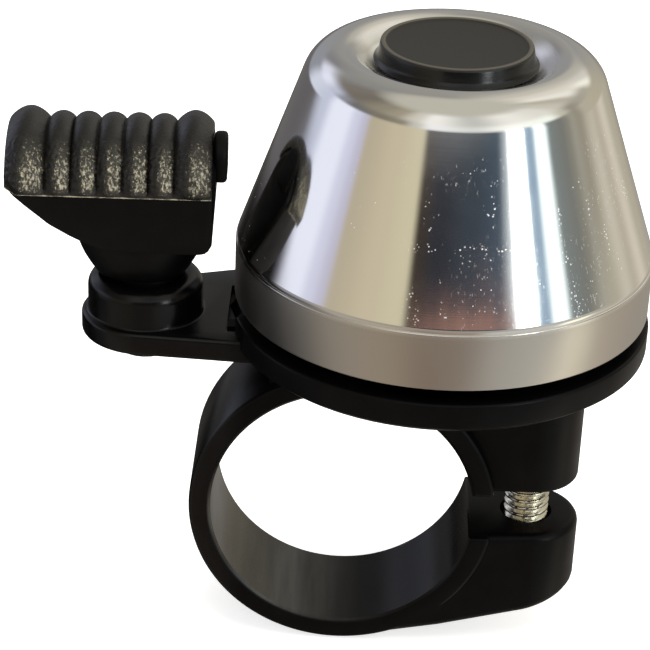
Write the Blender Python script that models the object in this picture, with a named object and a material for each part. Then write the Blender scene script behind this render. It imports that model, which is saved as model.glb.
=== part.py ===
"""Bicycle bell: conical dome, thumb lever on an upright pivot, and a split clamp for a 22 mm bar.

Frame: origin at the centre of the clamp bore, bore along Y, bell axis along +Z, thumb lever
towards -X, clamp screw towards +X. The numbers below are millimetres.
"""
import math

import bmesh
import bpy

MM = 0.001
GAP = 0.3              # air between two pieces that rest on each other

# Split clamp
BORE_R = 11.4          # takes a 22.2 mm bar with a little room
RING_R = 13.3
RING_HALF = 5.35       # half the width of the band along the bar
SPLIT_LOW, SPLIT_HIGH = -2.2, 1.9
SCREW_X = 16.45        # clamp screw axis
EAR_R = 4.3            # upper ear's round end
LOW_EAR_R = 4.65
EAR_HOLE_R = 2.3
SEAT_Z = -6.6          # counterbore seat for the screw head

# Pan under the dome
BELL_X = 7.6
PAN_TOP = 17.8
PAN_R = 17.7
PAN_WALL = 1.2
PAN_SIDE = 2.1
PAN_CHAMFER = 0.6
PAN_FLOOR = PAN_TOP - 1.6
PAN_UNDER = PAN_TOP - PAN_SIDE - PAN_CHAMFER

# Arm that carries the lever
PIVOT_X = -17.5
ARM_HALF = 5.45
ARM_FRONT, ARM_BACK = -6.0, 8.6   # the arm widens towards the pan, more at the back
ARM_TOP = PAN_TOP - 1.4
ARM_UNDER = PAN_TOP - 3.45
RIB_UNDER = 10.8       # foot of the stiffening rib along the arm's back edge
ARM_CEILING = ARM_TOP - 0.9
ARM_INNER = 4.75
SLOT_LOW, SLOT_HIGH = -10.4, -7.6
SLOT_FRONT, SLOT_BACK = -4.1, 4.6
COLLAR_R = 4.9
COLLAR_TOP = PAN_TOP + 2.0
COLLAR_CAVITY_R = 4.15
JOURNAL_R = 3.0
JOURNAL_GAP = 0.1

# Dome, measured up from the pan's rim
DOME_RIM = 1.15
DOME_WALL = 1.2
DOME_R = 17.5
CREASE_Z = 6.03
CONE_SLOPE = 0.3487    # radius lost per unit of height
CREST_Z = 23.0
SHOULDER_R = 3.3
TOP_FACE_Z = 21.65
WELL_R = 5.6           # sunk centre that takes the screw and the cap
WELL_FLOOR = 18.2
DOME_HOLE_R = 3.05

# Stack on the post, measured up from the pan's rim
POST_R = 4.2
POST_FOOT_R = 4.5
POST_TOP = 15.2
INSERT_R, INSERT_BORE = 2.9, 2.25
M4_R, M4_ROOT, M4_PITCH = 1.95, 1.62, 0.7

# Thumb lever, X and Y from the pivot, Z from the frame's origin
NOSE_Z = 29.75
CORE_Y, CORE_RY, CORE_RZ = -2.05, 4.0, 3.3
CORE_FOOT = 23.2       # lowest edge of the pad
PAD_LEFT, CORE_END = -10.95, 5.95
PAD_TURN = 2.0         # degrees the pad is set round the pivot at rest
TAB_START, TAB_END = 5.75, 6.85
NECK_Z = COLLAR_TOP + GAP
RIB_WIDTHS = (3.2, 2.07, 2.07, 2.07, 2.07, 2.07, 3.05)

# Hammer, from the pivot
HAMMER_REST = 14.0     # degrees the strip's first length lies from +X at rest
HEAD_X, HEAD_Y = 15.7, 9.4
STRIP = 0.7
STRIP_HALF = 1.3
STRIP_LOW = ARM_CEILING - GAP - STRIP
STRIP_HIGH = PAN_FLOOR + 0.9


def clear_scene():
    for obj in list(bpy.data.objects):
        bpy.data.objects.remove(obj, do_unlink=True)


def material(name, colour, rough, metallic=0.0):
    mat = bpy.data.materials.new(name)
    mat.use_nodes = True
    shader = mat.node_tree.nodes["Principled BSDF"]
    shader.inputs["Base Color"].default_value = (*colour, 1.0)
    shader.inputs["Roughness"].default_value = rough
    shader.inputs["Metallic"].default_value = metallic
    return mat


def polar(radius, degrees):
    turn = math.radians(degrees)
    return radius * math.cos(turn), radius * math.sin(turn)


def arc(cx, cy, radius, start, end, steps):
    """Points on a circle from start to end degrees, both ends included."""
    points = []
    for i in range(steps + 1):
        dx, dy = polar(radius, start + (end - start) * i / steps)
        points.append((cx + dx, cy + dy))
    return points


def mesh_object(name, bm, at=(0, 0, 0)):
    bmesh.ops.recalc_face_normals(bm, faces=bm.faces)
    mesh = bpy.data.meshes.new(name)
    bm.to_mesh(mesh)
    bm.free()
    obj = bpy.data.objects.new(name, mesh)
    obj.location = [value * MM for value in at]
    bpy.context.scene.collection.objects.link(obj)
    return obj


def skin(bm, rings, closed):
    """Join rings of vertices with quads; a ring may be one vertex repeated."""
    pairs = list(zip(rings, rings[1:]))
    if closed:
        pairs.append((rings[-1], rings[0]))
    for low, high in pairs:
        for i in range(len(low)):
            j = (i + 1) % len(low)
            corners = list(dict.fromkeys((low[i], low[j], high[j], high[i])))
            if len(corners) > 2:
                bm.faces.new(corners)


def lathe(name, profile, segments=48, at=(0, 0, 0), axis="Z", phase=0.0):
    """Turn a closed outline of (radius, height) points about an axis.

    A cutter on the axis of the piece it cuts gets half a facet of phase, so no two edges meet.
    """
    bm = bmesh.new()
    rings = []
    for radius, height in profile:
        if radius < 1e-6:
            spot = (0, height * MM, 0) if axis == "Y" else (0, 0, height * MM)
            rings.append([bm.verts.new(spot)] * segments)
            continue
        ring = []
        for i in range(segments):
            u, v = polar(radius * MM, 360.0 * (i + phase) / segments)
            ring.append(bm.verts.new((u, height * MM, v) if axis == "Y" else (u, v, height * MM)))
        rings.append(ring)
    skin(bm, rings, True)
    return mesh_object(name, bm, at)


def loft(name, sections, at=(0, 0, 0)):
    """Skin a list of equal rings of (x, y, z) points and close both ends."""
    bm = bmesh.new()
    rings = [[bm.verts.new([value * MM for value in point]) for point in ring] for ring in sections]
    skin(bm, rings, False)
    bm.faces.new(rings[0])
    bm.faces.new(list(reversed(rings[-1])))
    return mesh_object(name, bm, at)


def prism(name, outline, low, high, axis="Z", at=(0, 0, 0)):
    """Extrude a flat outline along Z (points x, y), Y (points x, z) or X (points y, z)."""
    place = {
        "Z": lambda p, level: (p[0], p[1], level),
        "Y": lambda p, level: (p[0], level, p[1]),
        "X": lambda p, level: (level, p[0], p[1]),
    }[axis]
    return loft(name, [[place(p, level) for p in outline] for level in (low, high)], at)


def box(name, low, high):
    outline = [(low[0], low[1]), (high[0], low[1]), (high[0], high[1]), (low[0], high[1])]
    return prism(name, outline, low[2], high[2])


def combine(target, operation, tools):
    for tool in tools:
        tool.hide_render = True
        tool.display_type = "WIRE"
        mod = target.modifiers.new(operation.title() + " " + tool.name, "BOOLEAN")
        mod.operation = operation
        mod.solver = "EXACT"
        mod.object = tool


def soften(obj, width, segments=2, angle=35.0):
    mod = obj.modifiers.new("Soft edges", "BEVEL")
    mod.width = width * MM
    mod.segments = segments
    mod.limit_method = "ANGLE"
    mod.angle_limit = math.radians(angle)
    mod.use_clamp_overlap = True


def finish(obj, mat, angle=32.0):
    obj.data.materials.append(mat)
    for face in obj.data.polygons:
        face.use_smooth = True
    obj.data.set_sharp_from_angle(angle=math.radians(angle))
    return obj


def washer_profile(inner, outer, low, high):
    return [(inner, low), (outer, low), (outer, high), (inner, high)]


def thread(low, high):
    """Outline points of a ridged shank, going up, between two heights."""
    points = []
    for i in range(int((high - low) / M4_PITCH)):
        z = low + i * M4_PITCH
        points += [(M4_ROOT, z), (M4_R, z + 0.25), (M4_R, z + 0.4), (M4_ROOT, z + 0.65)]
    return points


def ellipse(cx, cy, rx, ry, z, count):
    ring = []
    for i in range(count):
        u, v = polar(1.0, 360.0 * i / count)
        ring.append((cx + rx * u, cy + ry * v, z))
    return ring


# ---------------------------------------------------------------- moulded base and clamp

def make_base(plastic):
    foot = PAN_UNDER
    disc = lathe("base_clamp_moulding", [
        (0, foot), (PAN_R - 0.75, foot), (PAN_R - 0.12, foot + PAN_CHAMFER - 0.05),
        (PAN_R, foot + PAN_CHAMFER + 0.1), (PAN_R, PAN_TOP - 0.2), (PAN_R - 0.2, PAN_TOP),
        (0, PAN_TOP)], 56, (BELL_X, 0, 0))

    slab_outline = [(-2.0, ARM_FRONT), (-2.0, ARM_BACK), (-9.0, ARM_BACK)]
    slab_outline += arc(PIVOT_X, 0, ARM_HALF, 106, 266, 16) + [(-9.0, ARM_FRONT)]
    slab = prism("arm slab", slab_outline, ARM_UNDER, ARM_TOP)
    soften(slab, 0.4)
    back_rib = prism("arm back rib", [(-14.5, 6.2), (-14.5, 5.3), (-7.0, 7.0), (-7.0, 8.3), (-9.2, 8.1)],
                     RIB_UNDER, ARM_UNDER + 0.6)

    fillet = arc(COLLAR_R + 0.2, ARM_TOP + 0.2, 0.2, 270, 180, 2)
    crown = arc(COLLAR_R - 1.1, COLLAR_TOP - 1.1, 1.1, 0, 90, 4)
    journal = JOURNAL_R + JOURNAL_GAP
    collar = lathe("collar", [(journal, ARM_TOP - 0.5), (COLLAR_R + 0.2, ARM_TOP - 0.5)] + fillet
                   + crown + [(journal, COLLAR_TOP)], 32, (PIVOT_X, 0, 0))

    # The band is open on the screw's side, a hair wider than the gap between the ears.
    slit = [math.degrees(math.asin(level / RING_R)) for level in (SPLIT_HIGH + 0.04, SPLIT_LOW - 0.04)]
    band = prism("clamp band", arc(0, 0, RING_R, slit[0], 360 + slit[1], 54)
                 + [(8.0, SPLIT_LOW - 0.04), (8.0, SPLIT_HIGH + 0.04)], -RING_HALF, RING_HALF, "Y")
    soften(band, 0.35, 1)

    saddle_half, saddle_top = EAR_R - 0.1, PAN_UNDER + 0.5
    saddle = prism("saddle", [(-6.6, 8.0), (9.0, 8.0), (9.0, saddle_top), (-6.6, saddle_top)],
                   -saddle_half, saddle_half, "Y")
    soften(saddle, 0.4)

    upper_outline = [(6.0, EAR_R), (6.0, -EAR_R)] + arc(SCREW_X, 0, EAR_R, -90, 90, 14)
    upper = prism("upper ear", upper_outline, SPLIT_HIGH, PAN_UNDER + 0.85)
    soften(upper, 0.4)

    # The lower ear tapers in from the band's width and its underside runs tangent to the band.
    lower_outline = [(1.5, 5.2), (1.5, -5.2), (9.0, -5.2)] + arc(SCREW_X, 0, LOW_EAR_R, -90, 90, 14)
    lower_outline += [(9.0, 5.2)]
    lower = prism("lower ear", lower_outline, -14.0, SPLIT_LOW)
    rise = math.radians(11.5)
    tangent = (RING_R * math.sin(rise), -RING_R * math.cos(rise))
    far = 24.0
    side = prism("lower ear side", [
        (tangent[0] - 1.5, 0.0), (tangent[0] - 1.5, tangent[1] - 1.5 * math.tan(rise)), tangent,
        (SCREW_X, tangent[1] + (SCREW_X - tangent[0]) * math.tan(rise)),
        (far, tangent[1] + (far - tangent[0]) * math.tan(rise) + 0.9), (far, 0.0)],
        -9.0, 9.0, "Y")
    combine(lower, "INTERSECT", [side])
    soften(lower, 0.7)

    recess = lathe("pan recess", [
        (0, PAN_FLOOR), (PAN_R - PAN_WALL, PAN_FLOOR), (PAN_R - PAN_WALL, PAN_TOP + 3),
        (0, PAN_TOP + 3)], 56, (BELL_X, 0, 0), phase=0.5)
    post = lathe("post", [
        (0, PAN_FLOOR - 0.5), (POST_FOOT_R + 0.4, PAN_FLOOR - 0.5), (POST_FOOT_R + 0.4, PAN_FLOOR),
        (POST_FOOT_R, PAN_FLOOR + 0.4), (POST_R, PAN_TOP + POST_TOP - 0.2),
        (POST_R - 0.2, PAN_TOP + POST_TOP), (0, PAN_TOP + POST_TOP)], 24, (BELL_X, 0, 0))

    out = RING_HALF + 2.0
    flare = BORE_R + 2.3
    bore = lathe("bore", [
        (0, -out), (flare, -out), (BORE_R, 0.3 - RING_HALF), (BORE_R, RING_HALF - 0.3), (flare, out),
        (0, out)], 56, axis="Y")
    screw_hole = lathe("screw hole", [
        (0, -16), (3.8, -16), (3.8, SEAT_Z), (EAR_HOLE_R, SEAT_Z), (EAR_HOLE_R, 7.0),
        (INSERT_R + GAP, 7.0), (INSERT_R + GAP, PAN_FLOOR + 1), (0, PAN_FLOOR + 1)], 24,
        (SCREW_X, 0, 0))
    cavity = lathe("spring cavity", [
        (0, 12), (COLLAR_CAVITY_R, 12), (COLLAR_CAVITY_R, COLLAR_TOP - 0.8),
        (0, COLLAR_TOP - 0.8)], 32, (PIVOT_X, 0, 0), phase=0.5)
    notch = box("spring notch", (PIVOT_X - 0.7, 3.5, COLLAR_TOP - 2.2),
                (PIVOT_X + 0.7, COLLAR_CAVITY_R + 0.35, COLLAR_TOP - 1.1))
    channel_outline = [(SLOT_HIGH - 0.5, -ARM_INNER), (SLOT_HIGH - 0.5, ARM_INNER)]
    channel_outline += arc(PIVOT_X, 0, ARM_INNER, 90, 270, 16)
    channel = prism("channel", channel_outline, 12.0, ARM_CEILING)
    slot = box("hammer slot", (SLOT_LOW, SLOT_FRONT, 12.5), (SLOT_HIGH, SLOT_BACK, PAN_TOP + 2))
    post_hole = lathe("post hole", [
        (0, PAN_TOP + 6.8), (2.4, PAN_TOP + 6.8), (2.4, PAN_TOP + 8.1),
        (INSERT_R + GAP, PAN_TOP + 8.1), (INSERT_R + GAP, PAN_TOP + 17), (0, PAN_TOP + 17)], 24,
        (BELL_X, 0, 0), phase=0.5)

    combine(disc, "UNION", [slab, back_rib, collar, band, saddle, upper, lower])
    combine(disc, "DIFFERENCE", [recess])
    combine(disc, "UNION", [post])
    combine(disc, "DIFFERENCE", [bore, screw_hole, cavity, notch, channel, slot, post_hole])
    finish(disc, plastic)


# ---------------------------------------------------------------- dome and its fixings

def make_dome(metal):
    """Outside from rim to well, then back along the inside."""
    lean = math.atan(CONE_SLOPE)
    up = PAN_TOP
    corner_r = DOME_R - CONE_SLOPE * (CREST_Z - CREASE_Z)
    reach = SHOULDER_R * math.tan(math.radians(45) - lean / 2)
    flat_r = corner_r - reach
    outside = [(DOME_R - 0.35, up + DOME_RIM), (DOME_R - 0.05, up + DOME_RIM + 0.2),
               (DOME_R, up + CREASE_Z - 0.8), (DOME_R - 0.1, up + CREASE_Z),
               (DOME_R - CONE_SLOPE, up + CREASE_Z + 1.0)]
    outside += arc(flat_r, up + CREST_Z - SHOULDER_R, SHOULDER_R, math.degrees(lean), 90, 5)
    # The top is dished: it falls from the crest to the flat that the cap sits on.
    outside += [(flat_r - 1.0, up + CREST_Z - 0.3), (flat_r - 1.9, up + CREST_Z - 0.95),
                (flat_r - 2.4, up + TOP_FACE_Z), (WELL_R + 0.3, up + TOP_FACE_Z),
                (WELL_R, up + TOP_FACE_Z - 0.3), (WELL_R, up + WELL_FLOOR),
                (DOME_HOLE_R, up + WELL_FLOOR)]
    thick = DOME_WALL
    inside = [(DOME_HOLE_R, up + WELL_FLOOR - thick), (WELL_R + thick, up + WELL_FLOOR - thick),
              (WELL_R + thick, up + TOP_FACE_Z - thick),
              (flat_r - 0.9, up + CREST_Z - 0.35 - thick)]
    inside += arc(flat_r, up + CREST_Z - SHOULDER_R, SHOULDER_R - thick, 90, math.degrees(lean), 3)
    inside += [(DOME_R - thick - 0.05 - CONE_SLOPE * 0.6, up + CREASE_Z + 0.4),
               (DOME_R - thick, up + CREASE_Z - 0.6), (DOME_R - thick, up + DOME_RIM + 0.15),
               (DOME_R - thick + 0.15, up + DOME_RIM)]
    finish(lathe("dome", outside + inside, 56, (BELL_X, 0, 0)), metal, 50)


def make_cap(plastic):
    """Shallow cap with a raised edge, a skirt, and a ring that snaps into the dome's well."""
    base = PAN_TOP + TOP_FACE_Z + GAP
    profile = [(6.2, base), (6.65, base), (6.75, base + 0.12), (6.75, base + 0.3),
               (6.45, base + 0.5), (6.35, base + 0.7), (6.2, base + 1.5), (6.08, base + 1.62),
               (5.8, base + 1.64), (5.66, base + 1.55), (0, base + 1.55), (0, base + 0.95),
               (4.6, base + 0.95),
               (4.6, base - 2.3), (5.0, base - 2.3), (5.3, base - 1.9), (5.3, base + 0.6),
               (5.9, base + 0.6)]
    finish(lathe("dome_cap", profile, 36, (BELL_X, 0, 0)), plastic)


def make_dome_fixings(steel, spring_steel, nylon, rubber, brass):
    up = PAN_TOP
    axis = (BELL_X, 0, 0)
    finish(lathe("post_insert", [
        (INSERT_BORE, up + 8.4), (INSERT_R - 0.2, up + 8.4), (INSERT_R, up + 8.6),
        (INSERT_R, up + 10.9), (INSERT_R - 0.3, up + 11.1), (INSERT_R - 0.3, up + 12.2),
        (INSERT_R, up + 12.4), (INSERT_R, up + 14.9), (INSERT_BORE, up + 14.9)], 24, axis), brass)
    finish(lathe("dome_damper_washer", washer_profile(2.3, 4.4, up + 15.5, up + 16.7), 28, axis), rubber)
    finish(lathe("dome_bush", [
        (INSERT_BORE, up + 16.9), (2.75, up + 16.9), (2.75, up + 18.5), (4.0, up + 18.5),
        (4.0, up + 18.9), (INSERT_BORE, up + 18.9)], 28, axis), nylon)
    finish(lathe("dome_washer", washer_profile(INSERT_BORE, 4.2, up + 19.2, up + 19.7), 28, axis), steel)

    # Split lock washer: a flat ring with a slanted cut across it.
    lock = lathe("dome_lock_washer", washer_profile(INSERT_BORE, 3.4, up + 20.0, up + 20.6), 28, axis)
    cut = prism("lock cut", [(-0.35, up + 19.5), (0.05, up + 19.5), (0.35, up + 21.0), (-0.05, up + 21.0)],
                1.0, 5.0, "Y", axis)
    combine(lock, "DIFFERENCE", [cut])
    finish(lock, spring_steel)

    profile = [(0, up + 7.3), (1.4, up + 7.3), (M4_ROOT, up + 7.6)] + thread(up + 7.7, up + 9.9)
    profile += [(M4_R, up + 10.0), (M4_R, up + 20.9), (3.8, up + 20.9), (3.8, up + 21.9),
                (3.3, up + 22.45), (2.4, up + 22.6), (0, up + 22.6)]
    screw = lathe("dome_screw", profile, 20, axis)
    drives = [box("cross slot a", (BELL_X - 1.9, -0.4, up + 21.6), (BELL_X + 1.9, 0.4, up + 24)),
              box("cross slot b", (BELL_X - 0.4, -1.9, up + 21.7), (BELL_X + 0.4, 1.9, up + 24))]
    combine(screw, "DIFFERENCE", drives)
    finish(screw, steel)


# ---------------------------------------------------------------- lever, spring and hammer

def core_section(x, low, front_low, shrink=0.0):
    """Ring of points across the lever's pad at x: round top, front slanting back, flat back."""
    ry, rz = CORE_RY - shrink, CORE_RZ - shrink
    ring = []
    for i in range(13):
        u, v = polar(1.0, 180.0 - 15.0 * i)
        ring.append((x, CORE_Y + ry * u, NOSE_Z + rz * v))
    ring += [(x, CORE_Y + ry - 0.3, low + 0.5), (x, CORE_Y + ry - 0.8, low),
             (x, front_low + 0.5, low), (x, front_low, low + 0.5)]
    return ring


def make_lever(plastic):
    pivot = (PIVOT_X, 0, 0)
    stations = [(-10.85, 29.3, 0.5), (-10.45, 28.7, 0.12), (-9.4, 27.6, 0.0), (-7.7, 25.95, 0.0),
                (-6.0, 24.8, 0.0), (-4.4, 23.9, 0.0), (-2.0, 23.4, 0.0), (2.0, CORE_FOOT, 0.0),
                (4.7, CORE_FOOT, 0.0), (5.4, 23.6, 0.0), (5.75, 24.4, 0.0), (5.85, 26.0, 0.0),
                (5.88, 28.0, 0.1), (CORE_END, 28.6, 0.3)]
    sections = []
    for x, low, shrink in stations:
        # The front face slants from the nose back to the lever's lowest edge.
        nose = CORE_Y - CORE_RY + shrink
        front = nose + (NOSE_Z - low) / (NOSE_Z - CORE_FOOT) * 1.6
        sections.append(core_section(x, low, front, shrink))
    pad = loft("thumb_lever", sections, pivot)
    pad.rotation_euler[2] = math.radians(PAD_TURN)

    # Small tab of the core standing out of the pad's inner end.
    tab_ring = [(y, z) for y, z in arc(-3.1, 32.0, 1.9, 180, 0, 8)]
    tab_ring += [(-1.2, 30.15), (-5.0, 30.15)]
    tab = prism("tab", tab_ring, TAB_START, TAB_END, "X", pivot)
    tab.rotation_euler[2] = math.radians(PAD_TURN)
    soften(tab, 0.3)

    neck = loft("neck", [ellipse(-0.4, 0, 3.85, 3.2, NECK_Z, 32),
                         ellipse(-0.4, 0, 4.05, 3.3, NECK_Z + 0.35, 32),
                         ellipse(-0.4, -0.1, 4.5, 3.55, NECK_Z + 1.1, 32),
                         ellipse(-0.4, -0.3, 5.05, 3.75, NECK_Z + 2.3, 32),
                         ellipse(-0.4, -0.6, 5.25, 3.7, NECK_Z + 3.2, 32),
                         ellipse(-0.4, -0.7, 5.2, 3.5, NECK_Z + 4.6, 32)], pivot)
    groove_low, groove_high = ARM_CEILING + 0.35, ARM_CEILING + 1.25
    boss = lathe("boss", [
        (0, ARM_CEILING), (JOURNAL_R, ARM_CEILING), (JOURNAL_R, groove_low), (2.2, groove_low),
        (2.2, groove_high), (JOURNAL_R, groove_high), (JOURNAL_R, NECK_Z + 0.6), (0, NECK_Z + 0.6)],
        48, pivot)
    hole = lathe("boss hole", [(0, 12), (1.7, 12), (1.7, 21.0), (0, 21.5)], 24, pivot)
    combine(pad, "UNION", [neck, tab, boss])
    combine(pad, "DIFFERENCE", [hole])
    finish(pad, plastic)


def rib_height(x):
    """Height of the grip's ribs over its base skin at x, and how far the ends round over."""
    left = PAD_LEFT
    for index, width in enumerate(RIB_WIDTHS):
        if x <= left + width or index == len(RIB_WIDTHS) - 1:
            part = min(max((x - left) / width, 0.0), 1.0)
            tall = 0.95 if index in (0, len(RIB_WIDTHS) - 1) else 0.62
            return tall * max(math.sin(math.pi * part), 0.0) ** 0.75
        left += width
    return 0.0


def make_grip(rubber):
    """Ribbed thumb grip wrapped over the nose and top of the lever's pad."""
    edges = [PAD_LEFT]
    for width in RIB_WIDTHS:
        edges.append(edges[-1] + width)
    stations = []
    for left, right in zip(edges, edges[1:]):
        stations += [left + (right - left) * part for part in (0.0, 0.1, 0.27, 0.5, 0.73, 0.9)]
    stations.append(edges[-1])
    inner_y, inner_z = CORE_RY + GAP, CORE_RZ + GAP
    skin_y, skin_z = inner_y + 0.55, inner_z + 0.55
    last = 158.0
    sections = []
    for x in stations:
        tall = rib_height(x)
        # The lower lip is cut off at a slant at the outer end.
        first = -4.0 + 9.0 * max(0.0, 1.0 - (x - PAD_LEFT) / 0.9)
        ring = []
        for i in range(12):
            turn = first + (last - first) * i / 11
            fade = min(1.0, (turn - first) / 14.0, (last - turn) / 10.0)
            u, v = polar(1.0, 180.0 - turn)
            ring.append((x, CORE_Y + (skin_y + tall * fade) * u, NOSE_Z + (skin_z + tall * fade) * v))
        for i in range(7):
            turn = last + (first - last) * i / 6
            u, v = polar(1.0, 180.0 - turn)
            ring.append((x, CORE_Y + inner_y * u, NOSE_Z + inner_z * v))
        sections.append(ring)
    grip = finish(loft("thumb_grip", sections, (PIVOT_X, 0, 0)), rubber, 60)
    grip.rotation_euler[2] = math.radians(PAD_TURN)


def tube(name, path, radius, sides, at):
    """Round wire along a list of points."""
    sections = []
    for i, point in enumerate(path):
        before, after = path[max(i - 1, 0)], path[min(i + 1, len(path) - 1)]
        along = [b - a for a, b in zip(before, after)]
        length = math.sqrt(sum(value * value for value in along))
        along = [value / length for value in along]
        # Two directions across the wire; the first stays level unless the wire is upright.
        flat = math.hypot(along[0], along[1])
        if flat > 0.2:
            side = (-along[1] / flat, along[0] / flat, 0.0)
        else:
            side = (1.0, 0.0, 0.0)
        lift = (along[1] * side[2] - along[2] * side[1], along[2] * side[0] - along[0] * side[2],
                along[0] * side[1] - along[1] * side[0])
        ring = []
        for k in range(sides):
            u, v = polar(radius, 360.0 * k / sides)
            ring.append(tuple(point[n] + u * side[n] + v * lift[n] for n in range(3)))
        sections.append(ring)
    return loft(name, sections, at)


def make_spring(steel):
    """Torsion spring: coils round the boss, one tang in the collar's notch, one in the boss groove."""
    mean_r, wire = 3.58, 0.2
    bottom, top = ARM_CEILING + 0.8, COLLAR_TOP - 1.65
    start, sweep, steps = -84.0, 2 * 360.0 + 162.0, 34
    path = [(0.0, -2.75, bottom), (0.0, -3.25, bottom)]
    for i in range(steps + 1):
        u, v = polar(mean_r, start + sweep * i / steps)
        path.append((u, v, bottom + (top - bottom) * i / steps))
    path += [(0.0, 3.85, top), (0.0, 4.3, top)]
    finish(tube("torsion_spring", path, wire, 8, (PIVOT_X, 0, 0)), steel, 60)


def make_hammer(spring_steel, steel):
    """Cranked strip from under the arm, up through the slot, to a round head inside the dome."""
    pivot = (PIVOT_X, 0, 0)
    stops = [(2.5, STRIP_LOW), (7.6, STRIP_LOW), (9.7, STRIP_HIGH), (10.7, STRIP_HIGH)]
    path = [(*polar(reach, HAMMER_REST), z) for reach, z in stops]
    start = path[-1]
    path.append((start[0] + (HEAD_X - start[0]) * 0.25, start[1] + (HEAD_Y - start[1]) * 0.19, STRIP_HIGH))
    path.append((start[0] + (HEAD_X - start[0]) * 0.6, start[1] + (HEAD_Y - start[1]) * 0.56, STRIP_HIGH))
    path.append((HEAD_X + 0.35, HEAD_Y + 0.3, STRIP_HIGH))
    sections = []
    for i, (x, y, z) in enumerate(path):
        before, after = path[max(i - 1, 0)], path[min(i + 1, len(path) - 1)]
        run = math.hypot(after[0] - before[0], after[1] - before[1])
        nx, ny = -(after[1] - before[1]) / run, (after[0] - before[0]) / run
        half = STRIP_HALF
        sections.append([(x - nx * half, y - ny * half, z), (x + nx * half, y + ny * half, z),
                         (x + nx * half, y + ny * half, z + STRIP),
                         (x - nx * half, y - ny * half, z + STRIP)])
    strip = loft("hammer_arm", sections, pivot)
    eye = lathe("eye", [(0, STRIP_LOW + 0.02), (4.4, STRIP_LOW + 0.02), (4.4, STRIP_LOW + STRIP - 0.02),
                        (0, STRIP_LOW + STRIP - 0.02)], 40, pivot)
    end = lathe("strip end", [(0, STRIP_HIGH + 0.02), (1.7, STRIP_HIGH + 0.02),
                              (1.7, STRIP_HIGH + STRIP - 0.02), (0, STRIP_HIGH + STRIP - 0.02)], 28,
                (PIVOT_X + HEAD_X, HEAD_Y, 0))
    eye_hole = lathe("eye hole", [(0, 10), (1.7, 10), (1.7, 17.5), (0, 17.5)], 24, pivot)
    end_hole = lathe("end hole", [(0, 14), (1.0, 14), (1.0, 20), (0, 20)], 20,
                     (PIVOT_X + HEAD_X, HEAD_Y, 0), phase=0.5)
    combine(strip, "UNION", [eye, end])
    combine(strip, "DIFFERENCE", [eye_hole, end_hole])
    finish(strip, spring_steel)

    spot = (PIVOT_X + HEAD_X, HEAD_Y, 0)
    low = STRIP_HIGH + STRIP + GAP
    finish(lathe("hammer_head", [
        (1.0, low), (1.5, low), (1.8, low + 0.3), (1.8, low + 4.6), (1.7, low + 4.85),
        (1.4, low + 5.0), (0, low + 5.0), (0, low + 3.6), (1.0, low + 3.6)], 28, spot), steel)
    under = STRIP_HIGH - GAP
    finish(lathe("hammer_rivet", [
        (0, under - 0.3), (1.4, under - 0.3), (1.5, under - 0.15), (1.5, under), (0.7, under),
        (0.7, low + 3.2), (0, low + 3.2)], 20, spot), steel)


def make_pivot_fixings(steel):
    pivot = (PIVOT_X, 0, 0)
    top = STRIP_LOW - GAP
    finish(lathe("pivot_washer", washer_profile(1.7, 3.4, top - 0.4, top), 28, pivot), steel)
    head = top - 0.4 - GAP
    screw = lathe("pivot_screw", [
        (0, head - 1.2), (1.6, head - 1.2), (2.4, head - 0.8), (2.7, head - 0.3), (2.7, head),
        (1.4, head), (1.4, 19.6), (0.9, 20.4), (0, 20.6)], 24, pivot)
    slots = [box("pivot slot a", (PIVOT_X - 1.5, -0.35, head - 2), (PIVOT_X + 1.5, 0.35, head - 0.5)),
             box("pivot slot b", (PIVOT_X - 0.35, -1.5, head - 2), (PIVOT_X + 0.35, 1.5, head - 0.6))]
    combine(screw, "DIFFERENCE", slots)
    finish(screw, steel)


# ---------------------------------------------------------------- clamp screw

def make_clamp_fixings(steel, brass):
    axis = (SCREW_X, 0, 0)
    washer_top = SEAT_Z - GAP
    finish(lathe("clamp_washer", washer_profile(2.25, 3.5, washer_top - 0.5, washer_top), 28, axis), steel)
    head = washer_top - 0.5 - GAP
    profile = [(0, head - 1.8), (2.7, head - 1.8), (3.2, head - 1.4), (3.3, head - 1.0), (3.3, head),
               (M4_R, head), (M4_R, -3.5)]
    profile += thread(-3.3, 2.8) + [(M4_R, 3.0), (M4_R, 11.6)]
    profile += [(M4_ROOT, 11.95), (1.3, 12.3), (0, 12.3)]
    screw = lathe("clamp_screw", profile, 16, axis)
    slot = box("clamp slot", (SCREW_X - 5, -0.5, head - 4), (SCREW_X + 5, 0.5, head - 0.9))
    combine(screw, "DIFFERENCE", [slot])
    finish(screw, steel)
    finish(lathe("clamp_insert", [
        (INSERT_BORE, 7.3), (INSERT_R - 0.2, 7.3), (INSERT_R, 7.5), (INSERT_R, 9.8),
        (INSERT_R - 0.3, 10.0), (INSERT_R - 0.3, 11.1), (INSERT_R, 11.3), (INSERT_R, 13.6),
        (INSERT_BORE, 13.6)], 24, axis), brass)


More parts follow.
